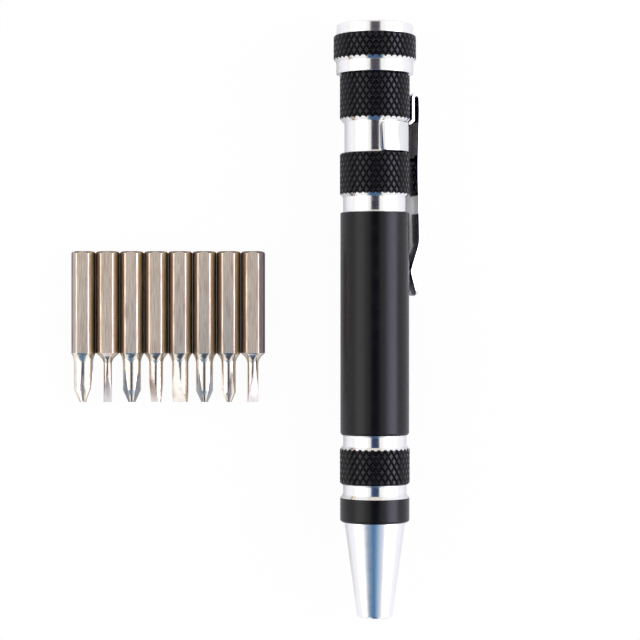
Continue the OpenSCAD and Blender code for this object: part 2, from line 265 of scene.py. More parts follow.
    @staticmethod
    def block(name: str, size: Sequence[float], place: Matrix) -> Piece:
        """Adds a block whose lowest corner is at the origin of a place.

        Args:
            name: Name of the new piece.
            size: Its three sizes.
            place: Where its corner and its edges lie.

        Returns:
            The new piece.
        """
        Bench.clear()
        bpy.ops.mesh.primitive_cube_add(size=1)
        piece = Bench.named(name)
        piece.matrix_world = place @ Matrix.Translation(Vector(size) / 2) @ Matrix.Diagonal((*size, 1))
        bpy.ops.object.transform_apply(location=True, rotation=True, scale=True)
        return piece

    @staticmethod
    def copy(piece: Piece, name: str) -> Piece:
        """Copies a piece with a mesh of its own."""
        twin = piece.copy()
        twin.data = piece.data.copy()
        twin.name = twin.data.name = name
        bpy.context.scene.collection.objects.link(twin)
        return twin

    @staticmethod
    def apply(piece: Piece) -> None:
        """Applies a piece's modifiers in order."""
        Bench.hold(piece)
        for name in [modifier.name for modifier in piece.modifiers]:
            bpy.ops.object.modifier_apply(modifier=name)

    @staticmethod
    def repeat(piece: Piece, times: int, angle: float) -> None:
        """Repeats a piece about Z, as part of its own mesh.

        Args:
            piece: The piece.
            times: How many more of it are made.
            angle: Turn from the piece to the last of them.
        """
        Bench.edit(piece)
        bpy.ops.mesh.select_all(action="SELECT")
        bpy.ops.mesh.spin(steps=times, dupli=True, angle=angle, center=(0, 0, 0), axis=(0, 0, 1))
        bpy.ops.object.mode_set(mode="OBJECT")

    @staticmethod
    def discard(piece: Piece) -> None:
        """Removes a piece that was only a tool."""
        mesh = piece.data
        bpy.data.objects.remove(piece, do_unlink=True)
        bpy.data.meshes.remove(mesh)

    @staticmethod
    def cut(piece: Piece, tool: Piece, way: Cut) -> None:
        """Cuts a piece with a tool, which is used up.

        Args:
            piece: The solid that is cut.
            tool: The solid that cuts. New faces take its materials.
            way: What is kept.
        """
        step = piece.modifiers.new(way.name, "BOOLEAN")
        step.operation = way.value
        step.solver = "EXACT"
        step.material_mode = "TRANSFER"
        step.object = tool
        Bench.apply(piece)
        Bench.discard(tool)

    @staticmethod
    def ease(piece: Piece, width: float, angle: float) -> None:
        """Rounds the sharp edges of a piece.

        Args:
            piece: The piece.
            width: How far the rounding reaches from each edge.
            angle: Edges that turn by more than this, in degrees, are rounded.
        """
        bevel = piece.modifiers.new("ease", "BEVEL")
        bevel.width = width
        bevel.segments = 2
        bevel.limit_method = "ANGLE"
        bevel.angle_limit = math.radians(angle)
        Bench.apply(piece)

    @staticmethod
    def lay(piece: Piece, place: Matrix) -> None:
        """Puts a finished piece where it belongs, with the place in its mesh.

        Args:
            piece: A piece in millimetres.
            place: Its place in metres.
        """
        piece.matrix_world = place @ Matrix.Scale(MM, 4)
        Bench.hold(piece)
        bpy.ops.object.transform_apply(location=True, rotation=True, scale=True)
        bpy.ops.object.shade_smooth_by_angle(angle=SMOOTH_ANGLE)

    @staticmethod
    def coat(piece: Piece, *materials: bpy.types.Material) -> None:
        """Gives a piece these materials in this order, and no others."""
        piece.data.materials.clear()
        for material in materials:
            piece.data.materials.append(material)

    @staticmethod
    def paint_where(piece: Piece, slot: int, test: FaceTest) -> None:
        """Gives the faces that pass a test the material in a slot.

        Args:
            piece: The piece, in object mode.
            slot: Place of the material in the piece's list.
            test: Takes a face and says whether it is painted.
        """
        for face in piece.data.polygons:
            if test(face):
                face.material_index = slot


def arc(centre: Span, radius: float, start: float, end: float, steps: int) -> Outline:
    """Points of an arc in an outline.

    Args:
        centre: Its centre.
        radius: Its radius.
        start: Angle of the first point, in degrees.
        end: Angle of the last point, in degrees.
        steps: Straight pieces.

    Returns:
        The points, both ends included.
    """
    turns = [math.radians(start + (end - start) * step / steps) for step in range(steps + 1)]
    return [(centre[0] + radius * math.cos(turn), centre[1] + radius * math.sin(turn)) for turn in turns]


class Shade:
    """A shader socket in an expression. Arithmetic on values adds Math nodes."""

    def __init__(self, graph: "Graph", socket: bpy.types.NodeSocket | None) -> None:
        """Wraps an output socket of a graph's node, or nothing for a node that has none."""
        self.graph = graph
        self.socket = socket

    def __add__(self, other: "Shade | float") -> "Shade":
        """Sum."""
        return self.graph.math("ADD", self, other)

    def __sub__(self, other: "Shade | float") -> "Shade":
        """Difference."""
        return self.graph.math("SUBTRACT", self, other)

    def __rsub__(self, other: float) -> "Shade":
        """Difference from a number."""
        return self.graph.math("SUBTRACT", other, self)

    def __mul__(self, other: "Shade | float") -> "Shade":
        """Product."""
        return self.graph.math("MULTIPLY", self, other)

    def __pow__(self, other: "Shade | float") -> "Shade":
        """Power."""
        return self.graph.math("POWER", self, other)

    def __neg__(self) -> "Shade":
        """Negative."""
        return self.graph.math("MULTIPLY", self, -1.0)

    def __abs__(self) -> "Shade":
        """Size without sign."""
        return self.graph.math("ABSOLUTE", self)

    __radd__ = __add__
    __rmul__ = __mul__


class Graph:
    """The node tree of a material or a world, written as expressions."""

    def __init__(self, tree: bpy.types.NodeTree) -> None:
        """Empties a node tree and takes it over."""
        self.tree = tree
        tree.nodes.clear()

    def node(self, kind: str, settings: dict[str, Any], inputs: dict[Any, Any], output: Any = 0) -> Shade:
        """Adds a node.

        Args:
            kind: Blender's type of the node.
            settings: Its settings, which are set first.
            inputs: Values or links of its sockets, by name or number.
            output: Name or number of the socket that is wanted.

        Returns:
            That output socket, or nothing for a node that has none.
        """
        made = self.tree.nodes.new(kind)
        for key, value in settings.items():
            setattr(made, key, value)
        for key, value in inputs.items():
            if isinstance(value, Shade):
                self.tree.links.new(value.socket, made.inputs[key])
            else:
                made.inputs[key].default_value = value
        return Shade(self, made.outputs[output] if len(made.outputs) else None)

    def math(self, operation: str, *values: "Shade | float") -> Shade:
        """Adds a Math node for an operation on values."""
        return self.node("ShaderNodeMath", {"operation": operation}, dict(enumerate(values)))

    def place(self) -> Shade:
        """The point on the piece, in metres, in the frame of the CAD part."""
        return self.node("ShaderNodeTexCoord", {}, {}, "Object")

    def axis(self, vector: Shade, name: str) -> Shade:
        """One axis of a vector."""
        return self.node("ShaderNodeSeparateXYZ", {}, {0: vector}, name)

    def noise(self, vector: Shade, scale: float, detail: float) -> Shade:
        """Soft noise about one half.

        Args:
            vector: Where it is read.
            scale: Waves in a metre.
            detail: Finer octaves.

        Returns:
            The noise.
        """
        return self.node("ShaderNodeTexNoise", {}, {"Vector": vector, "Scale": scale, "Detail": detail})

    def streaks(self, vector: Shade, across: float, along: float, detail: float) -> Shade:
        """Soft noise about one half that runs along Y or round it.

        Args:
            vector: Where it is read.
            across: Waves in a metre across Y.
            along: Waves in a metre along Y.
            detail: Finer octaves.

        Returns:
            The noise.
        """
        scale = (across, along, across)
        stretched = self.node("ShaderNodeVectorMath", {"operation": "MULTIPLY"}, {0: vector, 1: scale})
        return self.noise(stretched, 1.0, detail)

    def swing(self, noise: Shade, size: float) -> Shade:
        """Noise about one half, made into a swing of a size about zero."""
        return (noise - 0.5) * size

    def ramp(self, value: Shade, low: float, high: float) -> Shade:
        """A smooth step from 0 at one value to 1 at another."""
        return self.node(
            "ShaderNodeMapRange",
            {"interpolation_type": "SMOOTHSTEP"},
            {"Value": value, "From Min": low, "From Max": high},
        )

    def fade(self, value: Shade, low: float, high: float, most: float = 1.0) -> Shade:
        """A smooth step from a greatest share at one value to 0 at another."""
        return most - self.ramp(value, low, high) * most

    def window(self, value: Shade, opens: Span, closes: Span) -> Shade:
        """A smooth step up over one span of a value and down again over another."""
        return self.ramp(value, *opens) * self.fade(value, *closes)

    def tint(self, share: Shade, first: "Colour | Shade", second: "Colour | Shade") -> Shade:
        """Mixes two colours.

        Args:
            share: Share of the second colour.
            first: Colour at share 0.
            second: Colour at share 1.

        Returns:
            The mixed colour.
        """
        colours = [colour if isinstance(colour, Shade) else (*colour, 1.0) for colour in (first, second)]
        return self.node("ShaderNodeMix", {"data_type": "RGBA"}, {0: share, 6: colours[0], 7: colours[1]}, 2)

    def stops(self, value: Shade, stops: Sequence[tuple[float, Colour]]) -> Shade:
        """Runs through a row of colours.

        Args:
            value: Where on the row, from 0 to 1.
            stops: Place and colour of each stop.

        Returns:
            The colour there.
        """
        ramp = self.node("ShaderNodeValToRGB", {}, {0: value})
        elements = ramp.socket.node.color_ramp.elements
        for element, (place, colour) in zip((elements[0], elements[-1]), (stops[0], stops[-1])):
            element.position, element.color = place, (*colour, 1.0)
        for place, colour in stops[1:-1]:
            elements.new(place).color = (*colour, 1.0)
        return ramp

    def bump(self, height: Shade, depth: float) -> Shade:
        """A normal for a height from 0 to 1 of a depth in metres."""
        return self.node("ShaderNodeBump", {}, {"Height": height, "Strength": 1.0, "Distance": depth})


@dataclass(frozen=True)
class Finish(ABC):
    """A finish, made into a material once and shared."""

    name: str

    def make(self) -> bpy.types.Material:
        """Returns the finish's material, which is made at the first call."""
        known = bpy.data.materials.get(self.name)
        if known is not None:
            return known
        material = bpy.data.materials.new(self.name)
        material.use_nodes = True
        graph = Graph(material.node_tree)
        shader = graph.node("ShaderNodeBsdfPrincipled", {}, self.paint(graph))
        graph.node("ShaderNodeOutputMaterial", {}, {"Surface": shader})
        return material

    @abstractmethod
    def paint(self, graph: Graph) -> dict[str, Any]:
        """Returns the shader's inputs."""


@dataclass(frozen=True)
class BlackAnodising(Finish):
    """Satin black anodising over a turned surface, rubbed a little on its crests.

    The crest is the radius of the highest tops from the pen's axis. Rubbing grows from the first depth under
    it to the second. Zero leaves that out.
    """

    deep: Colour = (0.0015, 0.0015, 0.0022)
    pale: Colour = (0.0036, 0.0034, 0.0050)
    rubbed: Colour = (0.0100, 0.0096, 0.0150)
    roughness: float = 0.25
    ior: float = 1.36
    relief: float = 1.1e-6
    polish: float = 0.08
    crest: float = 0.0
    rub_depths: Span = (0.09 * MM, 0.01 * MM)
    axis: Span = (0.0, 0.0)

    def paint(self, graph: Graph) -> dict[str, Any]:
        """Returns the shader's inputs: clouded dye, lathe rings, fine grain and rubbed crests."""
        place = graph.place()
        clouds = graph.noise(place, scale=380.0, detail=4.0)
        rings = graph.streaks(place, across=40.0, along=4200.0, detail=2.0)
        grain = graph.noise(place, scale=8000.0, detail=2.0)
        colour = graph.tint(clouds, self.deep, self.pale)
        roughness = self.roughness + graph.swing(clouds, 0.16) + graph.swing(rings, 0.08)
        if self.crest:
            across = graph.axis(place, "X") - self.axis[0]
            upward = graph.axis(place, "Z") - self.axis[1]
            radius = (across * across + upward * upward) ** 0.5
            crest = graph.ramp(radius, *(self.crest - depth for depth in self.rub_depths))
            worn = crest * graph.ramp(graph.noise(place, scale=1500.0, detail=3.0), 0.35, 0.7)
            colour = graph.tint(worn, colour, self.rubbed)
            roughness = roughness - worn * self.polish
        return {
            "Base Color": colour,
            "Roughness": roughness,
            "Metallic": 0.0,
            "IOR": self.ior,
            "Normal": graph.bump(rings * 0.45 + grain * 0.55, self.relief),
        }


@dataclass(frozen=True)
class TurnedAluminium(Finish):
    """Bare aluminium with the fine rings that a lathe tool leaves.

    The grain is the height of a blasted surface against the rings. Zero leaves it out.
    """

    colour: Colour = (0.915, 0.913, 0.91)
    dull: Colour = (0.82, 0.82, 0.83)
    roughness: float = 0.14
    ring_depth: float = 0.9e-6
    grain: float = 0.0

    def paint(self, graph: Graph) -> dict[str, Any]:
        """Returns the shader's inputs: lathe rings, faint handling marks and a clouded roughness."""
        place = graph.place()
        rings = graph.streaks(place, across=60.0, along=3600.0, detail=3.0)
        clouds = graph.noise(place, scale=260.0, detail=4.0)
        marks = graph.ramp(graph.streaks(place, across=900.0, along=160.0, detail=5.0), 0.60, 0.78)
        relief = rings
        if self.grain:
            relief = rings + graph.noise(place, scale=5200.0, detail=3.0) * self.grain
        swings = graph.swing(clouds, 0.10) + graph.swing(rings, 0.10)
        return {
            "Base Color": graph.tint(marks * 0.5 + graph.swing(rings, 0.5), self.colour, self.dull),
            "Roughness": self.roughness + swings + marks * 0.05,
            "Metallic": 1.0,
            "Normal": graph.bump(relief, self.ring_depth),
        }


@dataclass(frozen=True)
class SpringSteel(Finish):
    """Polished spring steel with hairline scratches along the strip.

    Beyond the given place along Y its colour turns to a painted dark reflection of the barrel. None leaves it
    out.
    """

    colour: Colour = (0.88, 0.88, 0.89)
    dark: Colour = (0.78, 0.78, 0.80)
    # Colour of the painted dark reflection of the barrel in the arm.
    scale: Colour = (0.13, 0.12, 0.125)
    roughness: float = 0.07
    scratch_depth: float = 0.5e-6
    painted_dark_y: float | None = None
    painted_dark_fade: float = 0.5 * MM
    painted_dark_swing: float = 0.4 * MM

    def paint(self, graph: Graph) -> dict[str, Any]:
        """Returns the shader's inputs: scratches along Y, cloudy polish and the painted dark reflection."""
        place = graph.place()
        hairs = graph.streaks(place, across=7000.0, along=260.0, detail=3.0)
        clouds = graph.noise(place, scale=330.0, detail=3.0)
        colour = graph.tint(clouds, self.colour, self.dark)
        # Painted dark reflection of the barrel, past a place along Y.
        if self.painted_dark_y is not None:
            edge = graph.axis(place, "Y") + graph.swing(clouds, self.painted_dark_swing)
            painted_dark = graph.ramp(edge, self.painted_dark_y - self.painted_dark_fade, self.painted_dark_y)
            colour = graph.tint(painted_dark, colour, self.scale)
        return {
            "Base Color": colour,
            "Roughness": self.roughness + graph.swing(clouds, 0.08) + graph.ramp(hairs, 0.55, 0.8) * 0.10,
            "Metallic": 1.0,
            "Normal": graph.bump(hairs, self.scratch_depth),
        }


@dataclass(frozen=True)
class PlatedSteel(Finish):
    """Warm nickel plate over drawn hex bar, with the grain of the draw along it.

    The plate of a lying bit is clean on top, gets a painted warm reflection of its neighbours down its sides
    and painted shade at the height of its axis, where it meets them. Both spans are distances from that
    height.
    """

    colour: Colour = (1.00, 0.85, 0.69)
    stain: Colour = (0.44, 0.34, 0.26)
    # Painted warm reflection of the neighbouring bits, laid down the sides.
    painted_side: Colour = (0.66, 0.46, 0.11)
    # Painted shade where a lying bit meets its neighbours, at its axis height.
    painted_gap_shade: Colour = (0.07, 0.05, 0.045)
    roughness: float = 0.44
    relief: float = 1.6e-6
    axis_height: float = 2.0 * MM
    painted_side_span: Span = (0.8 * MM, 1.8 * MM)
    painted_side_share: float = 0.88
    gap_shade_span: Span = (0.1 * MM, 1.0 * MM)
    gap_shade_share: float = 0.85
    side_swing: float = 0.3 * MM

    def paint(self, graph: Graph) -> dict[str, Any]:
        """Returns the shader's inputs: draw grain along Y, stains, pits, and painted reflection and shade
        down the sides.
        """
        place = graph.place()
        grain = graph.streaks(place, across=6500.0, along=240.0, detail=4.0)
        stains = graph.ramp(graph.streaks(place, across=900.0, along=160.0, detail=4.0), 0.42, 0.72)
        pits = graph.ramp(graph.noise(place, scale=5200.0, detail=2.0), 0.66, 0.76)
        rise = abs(graph.axis(place, "Z") - self.axis_height) + graph.swing(stains, self.side_swing)
        lines = graph.ramp(grain, 0.34, 0.66)
        plate = graph.tint(stains * 0.35 + lines * 0.55 + pits * 0.4, self.colour, self.stain)
        # Painted warm reflection down the sides.
        side_painted = graph.tint(graph.fade(rise, *self.painted_side_span, self.painted_side_share), plate, self.painted_side)
        return {
            # Painted shade at the axis height, between the bits.
            "Base Color": graph.tint(graph.fade(rise, *self.gap_shade_span, self.gap_shade_share), side_painted, self.painted_gap_shade),
            "Roughness": self.roughness + graph.swing(grain, 0.16) + stains * 0.06,
            "Metallic": 1.0,
            "Normal": graph.bump(grain - pits * 0.5, self.relief),
        }


@dataclass(frozen=True)
class GroundSteel(Finish):
    """Bright plated steel of a ground working end, with fine grinding lines across it.

    A lying bit's sides darken towards a painted shade colour at the height of its axis. None leaves that out.
    """

    colour: Colour = (0.90, 0.83, 0.73)
    stain: Colour = (0.72, 0.61, 0.48)
    roughness: float = 0.20
    relief: float = 0.8e-6
    # Colour of the painted shade down a lying shaft's sides.
    rim: Colour | None = None
    axis_height: float = 2.0 * MM
    rim_shade_span: Span = (0.1 * MM, 1.1 * MM)
    rim_shade_share: float = 0.9

    def paint(self, graph: Graph) -> dict[str, Any]:
        """Returns the shader's inputs: grinding lines across Y, faint warm stains and painted shade down the
        sides.
        """
        place = graph.place()
        lines = graph.streaks(place, across=700.0, along=6000.0, detail=3.0)
        stains = graph.ramp(graph.noise(place, scale=900.0, detail=4.0), 0.45, 0.8)
        colour = graph.tint(stains * 0.7 + graph.swing(lines, 0.3), self.colour, self.stain)
        if self.rim is not None:
            # Painted shade down the shaft's sides, nearest its axis height.
            rise = abs(graph.axis(place, "Z") - self.axis_height)
            colour = graph.tint(graph.fade(rise, *self.rim_shade_span, self.rim_shade_share), colour, self.rim)
        return {
            "Base Color": colour,
            "Roughness": self.roughness + graph.swing(lines, 0.12),
            "Metallic": 1.0,
            "Normal": graph.bump(lines, self.relief),
        }


@dataclass(frozen=True)
class SoftRubber(Finish):
    """Matt black rubber with a fine speckle."""

    colour: Colour = (0.020, 0.020, 0.021)
    dust: Colour = (0.075, 0.073, 0.070)
    roughness: float = 0.72
    relief: float = 6.0e-6

    def paint(self, graph: Graph) -> dict[str, Any]:
        """Returns the shader's inputs: speckled dust on a rough surface."""
        speckle = graph.ramp(graph.noise(graph.place(), scale=3200.0, detail=4.0), 0.5, 0.8)
        return {
            "Base Color": graph.tint(speckle, self.colour, self.dust),
            "Roughness": self.roughness + speckle * 0.2,
            "Normal": graph.bump(speckle, self.relief),
        }


BLACK = BlackAnodising("black_anodising")
BRIGHT = TurnedAluminium("bright_turned_aluminium")
BLASTED = TurnedAluminium("blasted_nose_aluminium", roughness=0.18, ring_depth=1.2e-6, grain=3.5)
BORED = TurnedAluminium("bored_aluminium", (0.62, 0.62, 0.64), (0.45, 0.45, 0.47), 0.38, 3.0e-6)
PLATED = PlatedSteel("plated_steel")
# Its rim colour is a painted shade down the shaft's sides.
POLISHED = GroundSteel("polished_shaft_steel", rim=(0.30, 0.21, 0.13))
GROUND = GroundSteel("ground_face_steel", (0.78, 0.72, 0.66), (0.54, 0.47, 0.41), 0.36)
SHEARED = GroundSteel("sheared_end_steel", (0.34, 0.27, 0.22), (0.20, 0.15, 0.12), 0.40)
# Darker at the rim of a bit's top end.
DARK_END_RIM = GroundSteel("dark_end_rim_steel", (0.13, 0.10, 0.08), (0.07, 0.05, 0.04), 0.40)
MAGNET = GroundSteel("plated_magnet", (0.62, 0.63, 0.65), (0.48, 0.48, 0.50), 0.22)
LINER = SoftRubber("liner_rubber")
SPRING = SpringSteel("polished_spring_steel")


@dataclass(frozen=True)
class PenPlace:
    """Where the pen lies: its axis across and above the table, and its nose along Y, in metres."""

    axis_x: float
    axis_h: float
    nose_y: float

    @classmethod
    def of_frame(cls) -> "PenPlace":
        """Reads the place from the CAD nose, which is turned about the pen's axis."""
        low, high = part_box("nose_cone")
        return cls((low.x + high.x) / 2, (low.z + high.z) / 2, low.y)

    def matrix(self, turn: float = 0.0) -> Matrix:
        """The place of a piece that was modelled about Z, turned about that axis by an angle in degrees."""
        there = Matrix.Translation((self.axis_x, self.nose_y, self.axis_h))
        return there @ Matrix.Rotation(-math.pi / 2, 4, "X") @ Matrix.Rotation(math.radians(turn), 4, "Z")


@dataclass(frozen=True)
class Knurl:
    """A roll of diamond knurl: how many diamonds go round, and the size of each."""

    diamonds: int
    pitch: float = 1.9
    depth: float = 0.22
    slope: float = 0.22

    def roll(self, name: str, crest: float, foot: float, length: float) -> Piece:
        """Models a solid roll that is covered with truncated diamonds.

        The side of a cylinder is divided into a grid, each cell is poked, and the grid's own edges are
        dissolved, which leaves lozenges. Each lozenge is then inset and raised.

        Args:
            name: Name of the new piece.
            crest: Radius over the diamonds.
            foot: Height at which the roll has to start.
            length: Length that it has to cover.

        Returns:
            The new piece, a little longer than asked at both ends.
        """
        rows = math.ceil(length / self.pitch) + 2
        root = crest - self.depth
        half_step = math.pi / self.diamonds
        Bench.clear()
        bpy.ops.mesh.primitive_cylinder_add(
            vertices=self.diamonds, radius=root, depth=rows * self.pitch, location=(0, 0, foot + length / 2)
        )
        bpy.ops.object.transform_apply(location=True)
        piece = Bench.named(name)
        Bench.edit(piece)
        Bench.pick(piece, Element.EDGE, self.is_upright)
        bpy.ops.mesh.subdivide(number_cuts=rows - 1)
        Bench.pick(piece, Element.FACE, lambda face: abs(face.normal.z) < TILTED)
        bpy.ops.mesh.poke(offset=root * (1 - math.cos(half_step)), use_relative_offset=False)
        Bench.pick(piece, Element.EDGE, self.is_grid)
        bpy.ops.mesh.dissolve_edges(use_verts=False)
        Bench.pick(piece, Element.FACE, lambda face: len(face.verts) == 4)
        bpy.ops.mesh.inset(thickness=self.slope, depth=self.depth, use_individual=True)
        bpy.ops.object.mode_set(mode="OBJECT")
        return piece

    @staticmethod
    def is_upright(edge: bmesh.types.BMEdge) -> bool:
        """Whether an edge runs along the roll."""
        first, second = (vertex.co for vertex in edge.verts)
        return (first.xy - second.xy).length < WELD

    @staticmethod
    def is_grid(edge: bmesh.types.BMEdge) -> bool:
        """Whether an edge belongs to the first grid, between two pokes."""
        first, second = (vertex.co for vertex in edge.verts)
        along = (first.xy - second.xy).length < WELD or abs(first.z - second.z) < WELD
        return along and all(len(face.verts) == 3 for face in edge.link_faces)


class Edge(Enum):
    """How the chamfer at one end of a black band looks: left black, or cut bright after the dye."""

    BLACK = 0
    BRIGHT = 1


@dataclass(frozen=True)
class Band:
    """A black band round the pen: its place and size, its two ends and its knurl, if it has one.

    The slant is the depth of a bright chamfer, as a share of its height.
    """

    name: str
    foot: float
    length: float
    crest: float
    inner: float
    foot_edge: Edge
    head_edge: Edge
    foot_chamfer: float
    head_chamfer: float
    knurl: Knurl | None = None
    slant: float = 0.85

    def outline(self) -> Outline:
        """The ring's outline, with rounded black edges and sharp bright ones."""
        head = self.foot + self.length
        points: Outline = [(self.inner, self.foot)]
        points += self.corner(self.foot, 1.0, self.foot_chamfer, self.foot_edge)
        points += reversed(self.corner(head, -1.0, self.head_chamfer, self.head_edge))
        return points + [(self.inner, head)]

    def corner(self, end: float, way: float, size: float, edge: Edge) -> Outline:
        """One outer corner, from the end face out to the band's side.

        Args:
            end: Height of the end face.
            way: 1 where the band lies above the face, -1 where it lies below.
            size: How far the corner is cut.
            edge: A black corner is rounded, a bright one is a straight chamfer.

        Returns:
            The corner's points.
        """
        if edge is Edge.BRIGHT:
            return [(self.crest - size * self.slant, end), (self.crest, end + way * size)]
        round_corner = arc((self.crest - size, 0.0), size, -90, 0, steps=6) + [(self.crest, RING)]
        return [(r, end + way * (z + size)) for r, z in round_corner]

    def build(self, pen: PenPlace) -> Piece:
        """Turns the band, rolls its knurl and dresses it.

        Args:
            pen: Where the band's axis lies, from which the rubbing of its crests is measured.

        Returns:
            The band, in millimetres about Z.
        """
        black = BLACK.make()
        if self.knurl is not None:
            name = f"black_knurl_{round(self.crest * 100)}"
            black = BlackAnodising(name, crest=self.crest * MM, axis=(pen.axis_x, pen.axis_h)).make()
        blank = Bench.lathe(self.name, self.outline())
        Bench.coat(blank, black, BRIGHT.make())
        Bench.paint_where(blank, self.head_edge.value, lambda face: face.normal.z > TILTED)
        Bench.paint_where(blank, self.foot_edge.value, lambda face: face.normal.z < -TILTED)
        if self.knurl is None:
            return blank
        roll = self.knurl.roll(self.name + "_roll", self.crest, self.foot, self.length)
        Bench.coat(roll, black)
        Bench.cut(roll, blank, Cut.KEEP_COMMON)
        roll.name = roll.data.name = self.name
        return roll


def ride(piece: Piece, body: str, slot: str, *nodes: str) -> None:
    """Puts a finished piece on its body.

    Args:
        piece: The piece.
        body: The CAD body that it moves with.
        slot: The record's material slot; not used.
        nodes: CAD nodes that it stands for.
    """
    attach(piece, body)
    if nodes:
        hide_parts(*nodes)
    LOG.info("%s rides on %s and stands for %s", piece.name, body, ", ".join(nodes) or "nothing")


BARREL_KNURL = Knurl(34)
CAP_KNURL = Knurl(40)


@dataclass(frozen=True)
class Thread:
    """A right-hand thread: its rise, its ridge's height and widths, and how far that sinks into the wall."""

    pitch: float = 1.0
    turns: int = 5
    ridge: float = 0.34
    half_root: float = 0.40
    half_crest: float = 0.07
    sunk: float = 0.08

    def build(self, name: str, root: float, start: float, outward: bool) -> Piece:
        """Sweeps the ridge.

        Args:
            name: Name of the new piece.
            root: Radius of the wall that it stands on.
            start: Height at which it starts.
            outward: Whether it stands out from the wall, as on a bolt, or in, as in a nut.

        Returns:
            The thread, in millimetres about Z.
        """
        way = 1 if outward else -1
        foot, crest = root - way * self.sunk, root + way * self.ridge
        section = [
            (foot, start - self.half_root), (crest, start - self.half_crest),
            (crest, start + self.half_crest), (foot, start + self.half_root),
        ]
        return Bench.helix(name, section, self.pitch, self.turns)


@dataclass(frozen=True)
class Barrel:
    """The turned barrel: a bright bored tube, the black bands round it and the thread under the cap."""

    pen: PenPlace
    bore: float = 4.85
    neck: float = 5.80
    groove: float = 5.55
    thread_root: float = 5.42
    foot: float = 17.5
    shoulder: float = 99.3
    rim: float = 105.5
    rim_chamfer: float = 0.4
    fillet: float = 0.3
    lip: float = 0.04
    thread_start: float = 0.55
    thread: Thread = field(default_factory=Thread)

    def bands(self) -> list[Band]:
        """The black bands, from the nose up, in the order of a band's fields."""
        black, bright, neck, knurl = Edge.BLACK, Edge.BRIGHT, self.neck, BARREL_KNURL
        return [
            Band("barrel_ring", 17.5, 5.0, 6.35, neck, black, bright, 0.5, 0.55),
            Band("barrel_finger_knurl", 24.45, 6.85, 6.4, neck, black, bright, 0.5, 0.5, knurl),
            Band("barrel_grip", 33.45, 40.6, 6.3, neck, black, black, 0.45, 0.15),
            Band("barrel_middle_knurl", 76.9, 8.0, 6.4, neck, bright, black, 0.62, 0.4, knurl),
            Band("barrel_upper_knurl", 90.6, 8.7, 6.4, neck, bright, black, 0.65, 0.4, knurl),
        ]

    def neck_outline(self, below: Band, above: Band, radius: float) -> Outline:
        """A neck between two bands, with a fillet against a black end and a fine lip against a bright one.

        Args:
            below: The band under the neck.
            above: The band over it.
            radius: Radius of the neck.

        Returns:
            The points from the lower band's face to the upper one's.
        """
        foot, head = below.foot + below.length, above.foot
        low = self.fillet if below.head_edge is Edge.BLACK else self.lip
        high = self.fillet if above.foot_edge is Edge.BLACK else self.lip
        rise = arc((radius + low, foot + low), low, 270, 180, steps=4) + [(radius, foot + low + RING)]
        fall = [(radius, head - high - RING)] + arc((radius + high, head - high), high, 180, 90, steps=4)
        return [(self.neck, foot)] + rise + fall + [(self.neck, head)]

    def tube(self) -> Piece:
        """Turns the bright tube and dresses its bore."""
        outer: Outline = [(self.neck, self.foot)]
        for below, above in pairwise(self.bands()):
            radius = self.groove if above.name == "barrel_upper_knurl" else self.neck
            outer += self.neck_outline(below, above, radius)
        outer += [(self.neck, self.shoulder), (self.thread_root, self.shoulder)]
        outer += [(self.thread_root, self.rim - self.rim_chamfer)]
        outer += [(self.thread_root - self.rim_chamfer, self.rim)]
        piece = Bench.lathe("barrel_tube", [(self.bore, self.foot)] + outer + [(self.bore, self.rim)])
        Bench.coat(piece, BRIGHT.make(), BORED.make())
        Bench.paint_where(piece, 1, lambda face: face.center.xy.length < self.bore + SLACK)
        return piece

    def build(self) -> None:
        """Builds the barrel's pieces and puts them on its body."""
        tube = self.tube()
        Bench.lay(tube, self.pen.matrix())
        ride(tube, "barrel", "bright_aluminium", "barrel")
        start = self.shoulder + self.thread_start
        thread = self.thread.build("barrel_thread", self.thread_root, start, outward=True)
        Bench.coat(thread, BRIGHT.make())
        Bench.lay(thread, self.pen.matrix())
        ride(thread, "barrel", "bright_aluminium")
        for band in self.bands():
            piece = band.build(self.pen)
            Bench.lay(piece, self.pen.matrix())
            ride(piece, "barrel", "black_anodised")


@dataclass(frozen=True)
class Nose:
    """The bright cone with its hex socket."""

    pen: PenPlace
    length: float = 17.5
    top: float = 5.55
    tip: float = 3.2
    edge: float = 0.5
    spigot: float = 4.83
    spigot_length: float = 3.4
    socket: float = 4.06
    socket_depth: float = 15.0
    lead: float = 0.4

    def build(self) -> None:
        """Turns the cone, cuts the socket and puts the nose on the barrel's body."""
        slope = math.degrees(math.atan((self.top - self.tip) / self.length))
        lean = math.radians(slope)
        edge_r = self.tip + self.edge * (math.tan(lean) - 1 / math.cos(lean))
        head = self.length + self.spigot_length
        outline: Outline = [(0.0, 0.0)]
        outline += arc((edge_r, self.edge), self.edge, -90, -slope, steps=8)
        outline += [(outline[-1][0] + RING * math.tan(lean), outline[-1][1] + RING), (self.top, self.length)]
        outline += [(self.spigot, self.length), (self.spigot, head), (0.0, head)]
        piece = Bench.lathe("nose", outline)
        Bench.coat(piece, BLASTED.make())
        socket = Bench.prism("socket_tool", self.socket, -OVERRUN, OVERRUN + self.socket_depth)
        Bench.coat(socket, BORED.make())
        Bench.cut(piece, socket, Cut.TAKE_AWAY)
        mouth = self.socket / 2 / math.cos(math.pi / 6)
        lead = Bench.lathe(
            "lead_tool",
            [(0.0, -OVERRUN), (mouth + OVERRUN, -OVERRUN), (mouth - self.lead, self.lead), (0.0, self.lead)],
            SMALL_STEPS,
        )
        Bench.coat(lead, BLASTED.make())
        Bench.cut(piece, lead, Cut.TAKE_AWAY)
        Bench.lay(piece, self.pen.matrix())
        ride(piece, "barrel", "bright_aluminium", "nose_cone")


